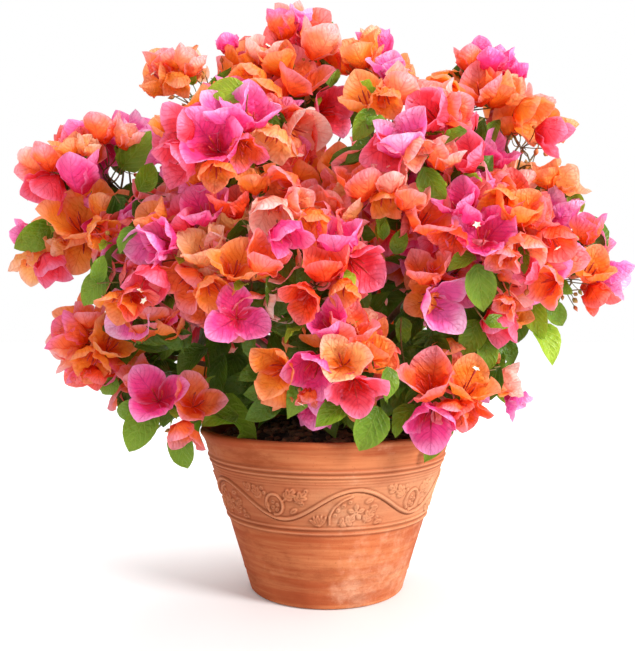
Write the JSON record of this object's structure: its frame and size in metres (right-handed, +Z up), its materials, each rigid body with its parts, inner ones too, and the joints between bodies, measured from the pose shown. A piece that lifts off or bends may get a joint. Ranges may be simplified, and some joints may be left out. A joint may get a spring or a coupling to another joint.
{
  "type": "bougainvillea bush in terracotta pot",
  "caption": "Potted bougainvillea bush: a round, full crown of papery coral, orange and magenta bracts and green leaves over a tapered terracotta pot with a relief band.",
  "frame": {"origin": "centre of the pot's flat underside, on the surface it stands on", "axes": "+Z up, +X to the right of somebody who looks at the bush's front along +Y, along the crown's greatest width"},
  "size_m": [0.6159, 0.45, 0.5757],
  "materials": {
    "terracotta": "unglazed fired clay, matt, a little worn and bloomed with lime",
    "soil": "dark moist potting mix with bark crumbs",
    "bark": "grey-brown bark, fine ridges",
    "foliage": "papery coral, orange and magenta bracts with green leaves"
  },
  "bodies": {
    "root": {"pot": "terracotta", "soil": "soil", "trunk": "bark", "bough_top": "bark", "bough_top_left": "bark", "bough_left_upper": "bark", "bough_left": "bark", "bough_left_lower": "bark", "bough_low_left": "bark", "bough_low_right": "bark", "bough_right_lower": "bark", "bough_right": "bark", "bough_right_upper": "bark", "bough_top_right": "bark", "bough_crown": "bark", "bough_front_upper_left": "bark", "bough_front_upper_right": "bark", "bough_front_left": "bark", "bough_front_middle": "bark", "bough_front_right": "bark", "bough_front_low": "bark", "bough_back_left": "bark", "bough_back_right": "bark", "bough_back_upper": "bark", "bough_back_low": "bark", "mass_top": "foliage", "mass_top_left": "foliage", "mass_left_upper": "foliage", "mass_left": "foliage", "mass_left_lower": "foliage", "mass_low_left": "foliage", "mass_low_right": "foliage", "mass_right_lower": "foliage", "mass_right": "foliage", "mass_right_upper": "foliage", "mass_top_right": "foliage", "mass_crown": "foliage", "mass_front_upper_left": "foliage", "mass_front_upper_right": "foliage", "mass_front_left": "foliage", "mass_front_middle": "foliage", "mass_front_right": "foliage", "mass_front_low": "foliage", "mass_back_left": "foliage", "mass_back_right": "foliage", "mass_back_upper": "foliage", "mass_back_low": "foliage"}
  },
  "joints": []
}
